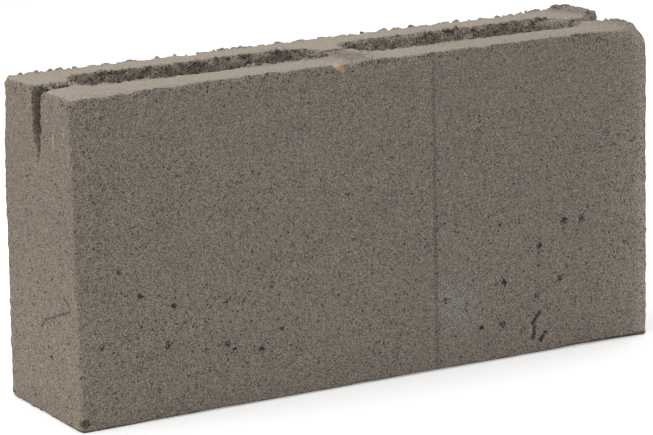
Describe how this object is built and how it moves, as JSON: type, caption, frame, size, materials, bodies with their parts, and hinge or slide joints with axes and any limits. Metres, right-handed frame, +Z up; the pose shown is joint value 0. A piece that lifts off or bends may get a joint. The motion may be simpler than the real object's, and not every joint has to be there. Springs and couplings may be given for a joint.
{
  "type": "concrete partition block",
  "caption": "Upright concrete block for thin partition walls, with blind tapered cells open at the top, a bar slot along the middle and a flared key in each end.",
  "frame": {"origin": "centre of the flat closed bed that the block stands on", "axes": "+X along the block's length, +Y through its thickness from the front face to the back face, +Z up towards the mouths of the cells"},
  "size_m": [0.39, 0.09, 0.192],
  "materials": {
    "concrete": "rough, sandy, cast grey concrete"
  },
  "bodies": {
    "root": {"concrete_block": "concrete"}
  },
  "joints": []
}
